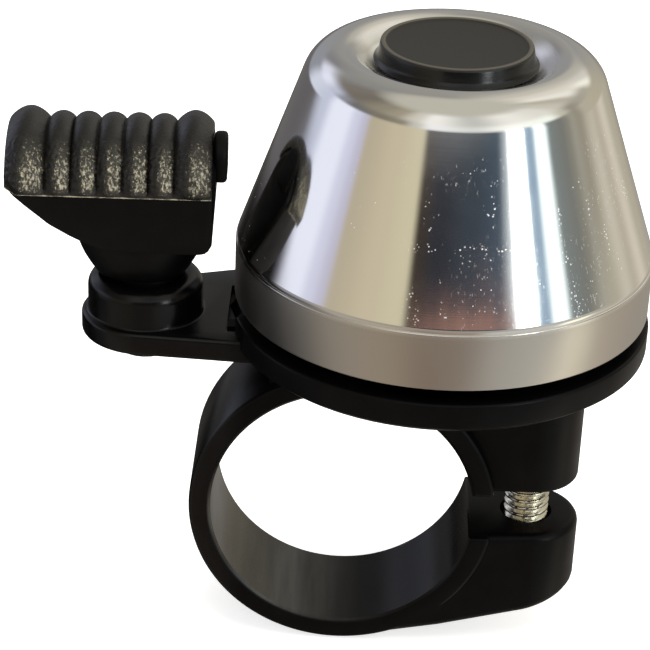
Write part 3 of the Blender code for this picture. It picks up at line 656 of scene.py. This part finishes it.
def make_dome():
    place(lathe("dome_shell", dome_profile(), 256, (BELL_X, 0)), polished_dome(), "base",
          "polished_aluminium", "dome", angle=40)


def make_cap():
    """Hollow plug with a slightly raised rim."""
    base = PAN_TOP + TOP_FACE_Z + GAP
    profile = [(6.2, base), (6.6, base)]
    profile += arc(6.62, base + 0.14, 0.12, -60, 60, 4)
    profile += [(6.55, base + 0.34), (6.45, base + 0.5), (6.38, base + 0.72), (6.32, base + 1.0),
                (6.26, base + 1.3)]
    profile += arc(6.05, base + 1.48, 0.17, 20, 90, 4)
    profile += [(5.92, base + 1.66), (5.8, base + 1.62), (5.7, base + 1.52), (5.55, base + 1.5),
                (0, base + 1.5), (0, base + 0.95), (4.6, base + 0.95), (4.6, base - 2.3),
                (5.0, base - 2.3), (5.3, base - 1.9), (5.3, base + 0.6), (5.9, base + 0.6)]
    g = Graph("cap plastic", (0.02, 0.018, 0.015), 0.4, Specular_IOR_Level=0.4)
    split = g.add("SeparateXYZ")
    g.link(g.coord.outputs["Object"], split.inputs["Vector"])
    top = g.ramp(split.outputs["Z"], (base + 1.4) * MM, (base + 1.5) * MM)
    g.to("Roughness", g.ramp(top, 0.0, 1.0, 0.2, 0.5))
    # Painted reflection: the top face is coloured lighter than the dark sides.
    tint = g.mix(top, (0.004, 0.004, 0.004), (0.017, 0.0155, 0.0125))
    # Painted highlight: a pale line round the raised rim.
    rim = g.ramp(split.outputs["Z"], (base + 1.58) * MM, (base + 1.64) * MM)
    g.to("Base Color", g.mix(rim, tint, (0.075, 0.068, 0.052)))
    g.bump(g.noise(2500, 4, 0.65), 0.00002, 0.4)
    place(lathe("dome_cap_moulding", profile, 160, (BELL_X, 0)), g.mat, "base", "cap_plastic", "dome_cap")


# ---------------------------------------------------------------- base

def make_base(plastic):
    """Pan, arm, collar, clamp band and both ears, joined and then cut out."""
    foot = PAN_UNDER
    rim = arc(PAN_R - 0.25, PAN_TOP - 0.25, 0.25, 0, 90, 4)
    disc = lathe("base_moulding", [
        (0, foot), (PAN_R - 0.95, foot), (PAN_R - 0.75, foot + 0.03), (PAN_R - 0.16, foot + 0.5),
        (PAN_R - 0.03, foot + 0.62), (PAN_R, foot + 0.78)] + rim + [(0, PAN_TOP)], 192, (BELL_X, 0))

    slab_outline = [(-2.0, ARM_FRONT), (-2.0, ARM_BACK), (-9.0, ARM_BACK)]
    slab_outline += arc(PIVOT_X, 0, ARM_HALF, 106, 266, 48) + [(-9.0, ARM_FRONT)]
    slab = soften(prism("arm slab", slab_outline, ARM_UNDER, ARM_TOP), 0.4, 4)
    back_rib = prism("arm back rib", [(-14.5, 6.2), (-14.5, 5.3), (-7.0, 7.0), (-7.0, 8.3), (-9.2, 8.1)],
                     RIB_UNDER, ARM_UNDER + 0.6)
    fillet = arc(COLLAR_R + 0.25, ARM_TOP + 0.25, 0.25, 270, 180, 4)
    crown = arc(COLLAR_R - 1.2, COLLAR_TOP - 1.2, 1.2, 0, 90, 10)
    collar = lathe("collar", [(JOURNAL_HOLE_R, ARM_TOP - 0.5), (COLLAR_R + 0.25, ARM_TOP - 0.5)] + fillet
                   + crown + [(JOURNAL_HOLE_R, COLLAR_TOP)], 96, (PIVOT_X, 0))

    slit = [math.degrees(math.asin(level / RING_R)) for level in (SPLIT_HIGH + 0.04, SPLIT_LOW - 0.04)]
    band = prism("clamp band", arc(0, 0, RING_R, slit[0], 360 + slit[1], 168)
                 + [(8.0, SPLIT_LOW - 0.04), (8.0, SPLIT_HIGH + 0.04)], -RING_HALF, RING_HALF, "Y")
    band = soften(band, 0.35, 3)
    saddle_top = PAN_UNDER + 0.5
    saddle = prism("saddle", [(-6.6, 8.0), (9.0, 8.0), (9.0, saddle_top), (-6.6, saddle_top)],
                   0.1 - EAR_R, EAR_R - 0.1, "Y")
    saddle = soften(saddle, 0.4)
    upper = prism("upper ear", [(6.0, EAR_R), (6.0, -EAR_R)] + arc(SCREW_X, 0, EAR_R, -90, 90, 40),
                  SPLIT_HIGH, PAN_UNDER + 0.85)
    upper = soften(upper, 0.4, 4)

    outline = [(1.5, LOW_EAR_HALF), (1.5, -LOW_EAR_HALF), (9.0, -LOW_EAR_HALF)]
    outline += arc(SCREW_X, 0, LOW_EAR_R, -90, 90, 40) + [(9.0, LOW_EAR_HALF)]
    lower = prism("lower ear", outline, -14.0, SPLIT_LOW)
    # Its underside runs on from the band as a straight tangent.
    rise = math.radians(LOW_EAR_RISE)
    tangent = (RING_R * math.sin(rise), -RING_R * math.cos(rise))
    far = 24.0
    side = prism("lower ear side", [
        (tangent[0] - 1.5, 0.0), (tangent[0] - 1.5, tangent[1] - 1.5 * math.tan(rise)), tangent,
        (SCREW_X, tangent[1] + (SCREW_X - tangent[0]) * math.tan(rise)),
        (far, tangent[1] + (far - tangent[0]) * math.tan(rise) + 0.9), (far, 0.0)], -9.0, 9.0, "Y")
    combine(lower, [("INTERSECT", [side])])
    lower = soften(lower, 0.7, 4)

    recess = lathe("recess", [
        (0, PAN_FLOOR), (PAN_R - PAN_WALL, PAN_FLOOR), (PAN_R - PAN_WALL, PAN_TOP + 3), (0, PAN_TOP + 3)],
        192, (BELL_X, 0), phase=0.5)
    post = lathe("post", [
        (0, PAN_FLOOR - 0.5), (4.9, PAN_FLOOR - 0.5), (4.9, PAN_FLOOR), (4.6, PAN_FLOOR + 0.1),
        (4.5, PAN_FLOOR + 0.4), (4.2, PAN_TOP + 15.0), (4.0, PAN_TOP + 15.2), (0, PAN_TOP + 15.2)],
        64, (BELL_X, 0))
    out, flare = RING_HALF + 2.0, BORE_R + 2.3
    bore = lathe("bore", [
        (0, -out), (flare, -out), (BORE_R, 0.3 - RING_HALF), (BORE_R, RING_HALF - 0.3), (flare, out),
        (0, out)], 192, axis="Y")
    screw_hole = lathe("screw hole", [
        (0, -16), (3.8, -16), (3.8, SEAT_Z), (SCREW_HOLE_R, SEAT_Z), (SCREW_HOLE_R, 7.0),
        (INSERT_HOLE_R, 7.0), (INSERT_HOLE_R, PAN_FLOOR + 1), (0, PAN_FLOOR + 1)], 48, (SCREW_X, 0))
    cavity = lathe("spring cavity", [
        (0, 12), (CAVITY_R, 12), (CAVITY_R, COLLAR_TOP - 0.8), (0, COLLAR_TOP - 0.8)],
        64, (PIVOT_X, 0), phase=0.5)
    channel = prism("channel", [(-8.1, -CHANNEL_HALF), (-8.1, CHANNEL_HALF)]
                    + arc(PIVOT_X, 0, CHANNEL_HALF, 90, 270, 32), 12.0, ARM_TOP - 0.9)
    slot = box("hammer slot", (*SLOT_LOW, 12.5), (*SLOT_HIGH, PAN_TOP + 2))
    post_hole = lathe("post hole", [
        (0, PAN_TOP + 6.8), (POST_HOLE_R, PAN_TOP + 6.8), (POST_HOLE_R, PAN_TOP + 8.1),
        (INSERT_HOLE_R, PAN_TOP + 8.1), (INSERT_HOLE_R, PAN_TOP + 17), (0, PAN_TOP + 17)],
        48, (BELL_X, 0), phase=0.5)
    combine(disc, [("UNION", [slab, back_rib, collar, band, saddle, upper, lower]), ("DIFFERENCE", [recess]),
                   ("UNION", [post]),
                   ("DIFFERENCE", [bore, screw_hole, cavity, channel, slot, post_hole])])
    place(disc, plastic, "base", "black_plastic", "base_clamp_moulding")


# ---------------------------------------------------------------- lever and grip

def make_lever(plastic):
    # The pad's lower edge, from its outer end to the end by the dome.
    low_line = [(CORE_LEFT, 29.3), (-10.45, 28.7), (-9.4, 27.6), (-8.5, 26.75), (-7.7, 25.95), (-6.0, 24.8),
                (-4.4, 23.9), (-3.2, 23.55), (-2.0, 23.4), (0.0, 23.28), (2.0, CORE_FOOT), (4.7, CORE_FOOT),
                (5.1, 23.32), (5.4, 23.6), (5.6, 23.95), (5.75, 24.4), (5.83, 25.0), (5.85, 26.0),
                (5.88, 28.0), (CORE_END, 28.6)]

    def lowest(x):
        for (x0, z0), (x1, z1) in zip(low_line, low_line[1:]):
            if x <= x1:
                return z0 + (z1 - z0) * (x - x0) / (x1 - x0)
        return low_line[-1][1]

    sections = []
    count = 60
    for i in range(count + 1):
        part = i / count
        x = CORE_LEFT + (CORE_END - CORE_LEFT) * part
        inset = 0.0
        for end in (x - CORE_LEFT, CORE_END - x):
            if end < 0.5:
                inset = max(inset, 0.5 - math.sqrt(max(0.0, 0.25 - (0.5 - end) ** 2)))
        low = lowest(x)
        ry, rz = CORE_RY - inset, CORE_RZ - inset
        nose = CORE_Y - ry
        front = nose + (NOSE_Z - low) / (NOSE_Z - CORE_FOOT) * 1.6
        ring = [(x, CORE_Y + ry * u, NOSE_Z + rz * v) for u, v in
                (polar(1.0, 180.0 - 180.0 * k / 36) for k in range(37))]
        back = CORE_Y + ry - 0.3
        ring += [(x, back, low + 0.6), (x, back - 0.18, low + 0.18), (x, back - 0.6, low),
                 (x, front + 0.6, low), (x, front + 0.18, low + 0.18), (x, front, low + 0.6)]
        sections.append(ring)
    pad = loft("lever_body", sections)

    tab = prism("tab", arc(-3.1, 32.0, 1.9, 180, 0, 24) + [(-1.2, 30.15), (-5.0, 30.15)],
                TAB_START, TAB_END, "X")
    tab = soften(tab, 0.35, 3)
    for piece in (pad, tab):
        piece.data.transform(Matrix.Rotation(math.radians(PAD_TURN), 4, "Z"))

    def ellipse(cx, cy, rx, ry, z):
        return [(cx + rx * u, cy + ry * v, z) for u, v in (polar(1.0, 3.75 * k) for k in range(96))]

    neck = loft("neck", [
        ellipse(-0.4, 0, 3.78, 3.13, 20.1), ellipse(-0.4, 0, 3.88, 3.22, 20.2),
        ellipse(-0.4, 0, 4.05, 3.3, 20.45), ellipse(-0.4, -0.05, 4.28, 3.42, 20.8),
        ellipse(-0.4, -0.1, 4.5, 3.55, 21.2), ellipse(-0.4, -0.2, 4.82, 3.66, 21.8),
        ellipse(-0.4, -0.3, 5.05, 3.75, 22.4), ellipse(-0.4, -0.45, 5.2, 3.75, 22.9),
        ellipse(-0.4, -0.6, 5.25, 3.7, 23.3), ellipse(-0.4, -0.7, 5.2, 3.5, 24.7)])
    boss = lathe("boss", [(0, 15.9), (BOSS_R, 15.9), (BOSS_R, 16.25), (2.2, 16.25), (2.2, 17.15),
                          (BOSS_R, 17.15), (BOSS_R, 20.7), (0, 20.7)], 96)
    hole = lathe("boss hole", [(0, 12), (BOSS_HOLE_R, 12), (BOSS_HOLE_R, 21.0), (0, 21.5)], 48)
    combine(pad, [("UNION", [neck, tab, boss]), ("DIFFERENCE", [hole])])
    pad.data.transform(Matrix.Translation((PIVOT_X * MM, 0, 0)))
    place(pad, plastic, "lever", "black_plastic", "thumb_lever")


def rib(x):
    """How far the grip's ribs stand over its base skin at x."""
    left = PAD_LEFT
    for index, width in enumerate(RIB_WIDTHS):
        if x <= left + width or index == len(RIB_WIDTHS) - 1:
            part = min(max((x - left) / width, 0.0), 1.0)
            tall, power = (0.95, 0.8) if index in (0, len(RIB_WIDTHS) - 1) else (0.62, 0.6)
            return tall * max(math.sin(math.pi * part), 0.0) ** power
        left += width
    return 0.0


def share(x):
    """Place across the rib that covers x, from 0 at its outer side to 1 at its inner side."""
    left = PAD_LEFT
    for width in RIB_WIDTHS:
        if x <= left + width:
            return (x - left) / width
        left += width
    return 1.0


def grip_rubber():
    """Black rubber with a rough patch on every rib, where pale flecks are painted glints and a lighter tint
    is painted sheen, and a painted highlight along the lower lip.
    """
    g = Graph("grip rubber", (0.003, 0.0028, 0.0025), 0.26, Specular_IOR_Level=0.5)
    g.to("Roughness", g.ramp(g.noise(1100, 4), 0.3, 0.7, 0.2, 0.36))
    # Where the painted sheen and glints go, on the side of each rib that faces the light.
    painted_sheen = g.add("Attribute", attribute_name="painted_sheen").outputs["Fac"]
    grain = g.noise(1.0, 5, 0.7, g.stretched((5200, 5200, 2700)))
    # Painted glints: pale flecks in the rough patch.
    painted_glint = g.ramp(g.math("ADD", grain, g.math("MULTIPLY", painted_sheen, 0.14)), 0.62, 0.74)
    painted_glint = g.math("MULTIPLY", painted_glint, g.ramp(painted_sheen, 0.05, 0.3))
    # A painted highlight runs along the lower lip as a thin broken pale line.
    lip = g.add("Attribute", attribute_name="lip").outputs["Fac"]
    lip = g.math("MULTIPLY", lip, g.ramp(g.noise(1500, 3), 0.40, 0.60, 0.1, 0.8))
    painted_glint = g.math("MAXIMUM", painted_glint, lip)
    tint = g.mix(g.ramp(g.noise(500, 4), 0.35, 0.75), (0.003, 0.0028, 0.0025), (0.006, 0.0055, 0.0045))
    # Painted sheen: the lit side of each rib is coloured lighter.
    tint = g.mix(painted_sheen, tint, (0.030, 0.027, 0.019))
    g.to("Base Color", g.mix(painted_glint, tint, (0.38, 0.345, 0.25)))
    g.bump(grain, 0.00005, 0.7)
    return g.mat


def make_grip(rubber):
    """Ribbed sleeve over the pad's core; where its painted sheen and glints and its lip highlight go is kept
    as mesh attributes.
    """
    inner_y, inner_z = CORE_RY + GAP, CORE_RZ + GAP
    skin_y, skin_z = inner_y + GRIP_SKIN, inner_z + GRIP_SKIN
    last = GRIP_END
    total = sum(RIB_WIDTHS)
    sections, painted_sheen, lip = [], [], []
    count, round_steps = 230, 150
    for i in range(count + 1):
        x = PAD_LEFT + total * i / count
        tall = rib(x)
        first = -4.0 + 9.0 * max(0.0, 1.0 - (x - PAD_LEFT) / 0.9)
        ring = []
        for k in range(round_steps + 1):
            turn = first + (last - first) * k / round_steps
            fade = min(1.0, (turn - first) / 12.0, (last - turn) / 10.0)
            # Pebbled patch over the lower front of every rib, smooth above it.
            patch = min(1.0, max(0.0, (turn - 2.0) / 8.0)) * min(1.0, max(0.0, (62.0 - turn) / 22.0))
            u, v = polar(1.0, 180.0 - turn)
            spot = Vector((x, CORE_Y + skin_y * u, NOSE_Z + skin_z * v))
            grain = noise.noise(spot * 3.4) + 0.6 * noise.noise(spot * 7.1)
            rise = tall * fade + 0.13 * patch * grain + 0.012 * noise.noise(spot * 5.0)
            ring.append((x, CORE_Y + (skin_y + rise) * u, NOSE_Z + (skin_z + rise) * v))
            lip.append(1.0 if k <= 1 else 0.0)
            # Painted sheen and glints go on the inner part of each rib's lower front, which faces the light.
            side = min(1.0, max(0.0, (share(x) - 0.3) / 0.25)) * min(1.0, max(0.0, (1.0 - share(x)) / 0.12))
            painted_sheen.append(side * min(1.0, max(0.0, (turn + 1.0) / 10.0))
                        * min(1.0, max(0.0, (60.0 - turn) / 35.0)))
        for k in range(25):
            turn = last + (first - last) * k / 24
            u, v = polar(1.0, 180.0 - turn)
            ring.append((x, CORE_Y + inner_y * u, NOSE_Z + inner_z * v))
            painted_sheen.append(0.0)
            lip.append(0.0)
        sections.append(ring)
    pad = loft("grip_pad", sections)
    for name, values in (("painted_sheen", painted_sheen), ("lip", lip)):
        layer = pad.data.attributes.new(name, "FLOAT", "POINT")
        layer.data.foreach_set("value", values)
    pad.data.transform(Matrix.Rotation(math.radians(PAD_TURN), 4, "Z"))
    pad.data.transform(Matrix.Translation((PIVOT_X * MM, 0, 0)))
    place(pad, rubber, "lever", "grip_rubber", "thumb_grip", angle=60)


# ---------------------------------------------------------------- clamp screw

def make_clamp_screw(steel):
    """Shank with a real helix, as one grid wound round the axis."""
    washer = 0.5
    head = SEAT_Z - GAP - washer - GAP
    steps, around = 12, 96
    bm = bmesh.new()
    rings = []

    def ring(r, z):
        rings.append([bm.verts.new(Vector((SCREW_X + r * u, r * v, z)) * MM)
                      for u, v in (polar(1.0, 360.0 * k / around) for k in range(around))])

    def thread_radius(phase):
        wave = abs(phase - 0.5) * 2.0
        return ROOT_R + (THREAD_R - ROOT_R) * min(1.0, max(0.0, (1.0 - wave) * 1.5 - 0.15))

    rings.append([bm.verts.new(Vector((SCREW_X, 0, head - 1.8)) * MM)] * around)
    ring(2.6, head - 1.8)
    ring(3.05, head - 1.6)
    ring(3.25, head - 1.2)
    ring(3.3, head - 0.9)
    ring(3.3, head)
    ring(THREAD_R, head)
    ring(THREAD_R, THREAD_LOW - 0.1)
    rows = int((THREAD_HIGH - THREAD_LOW) / PITCH * steps)
    for i in range(rows + 1):
        z = THREAD_LOW + (THREAD_HIGH - THREAD_LOW) * i / rows
        row = []
        for k in range(around):
            phase = ((z - THREAD_LOW) / PITCH - k / around) % 1.0
            # The thread fades out at both ends of the stretch.
            fade = min(1.0, i / 3.0, (rows - i) / 3.0)
            r = THREAD_R + (thread_radius(phase) - THREAD_R) * fade
            u, v = polar(r, 360.0 * k / around)
            row.append(bm.verts.new(Vector((SCREW_X + u, v, z)) * MM))
        rings.append(row)
    ring(THREAD_R, THREAD_HIGH + 0.1)
    ring(THREAD_R, 11.6)
    ring(ROOT_R, 11.95)
    ring(1.3, 12.3)
    rings.append([bm.verts.new(Vector((SCREW_X, 0, 12.3)) * MM)] * around)
    skin(bm, rings, False)
    screw = add_object("clamp_bolt", bm)
    slot = box("driver slot", (SCREW_X - 5, -0.5, head - 4), (SCREW_X + 5, 0.5, head - 0.9))
    combine(screw, [("DIFFERENCE", [slot])])
    place(screw, steel, "clamp_screw_body", "zinc_steel", "clamp_screw", angle=45)


def repaint(finishes):
    """Give CAD nodes that stay as they are their materials."""
    for node, mat in finishes.items():
        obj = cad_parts[node]
        for index in range(max(1, len(obj.material_slots))):
            if obj.material_slots:
                obj.material_slots[index].material = mat
            else:
                obj.data.materials.append(mat)


def main():
    plastic = black_plastic("black moulded plastic", base=True)
    lever_plastic = black_plastic("lever plastic", rough=0.42)
    zinc = satin_metal("zinc plated steel", (0.92, 0.88, 0.72), 0.24)
    spring = satin_metal("spring steel", (0.5, 0.5, 0.51), 0.3)
    # Steel coloured near black as painted shade, for the hammer in its slot and the pivot screw and washer
    # under the arm.
    shade_darkened = satin_metal("blued strip steel", (0.035, 0.036, 0.04), 0.4)
    brass = satin_metal("turned brass", (0.78, 0.58, 0.28), 0.28)
    nylon = rubbery("natural nylon", (0.72, 0.70, 0.63), 0.45, 900, 0.00002)
    washer_rubber = rubbery("washer rubber", (0.02, 0.02, 0.02), 0.7)
    grip = grip_rubber()
    make_dome()
    make_cap()
    make_base(plastic)
    make_lever(lever_plastic)
    make_grip(grip)
    make_clamp_screw(zinc)
    repaint({
        "dome_screw": zinc, "dome_lock_washer": spring, "dome_washer": zinc, "dome_bush": nylon,
        "dome_damper_washer": washer_rubber, "post_insert": brass, "clamp_insert": brass,
        # The hammer arm and pivot parts take the steel darkened as painted shade.
        "torsion_spring": spring, "hammer_arm": shade_darkened, "hammer_head": zinc, "hammer_rivet": zinc,
        "pivot_screw": shade_darkened, "pivot_washer": shade_darkened, "clamp_washer": zinc})
    floor()
    surroundings()
    softbox("ceiling light", (0.05, -0.05, 0.55), (0, 0, 0), (0.5, 0.5), 3.0)
    camera()
    bpy.context.scene.view_settings.view_transform = "Standard"


main()
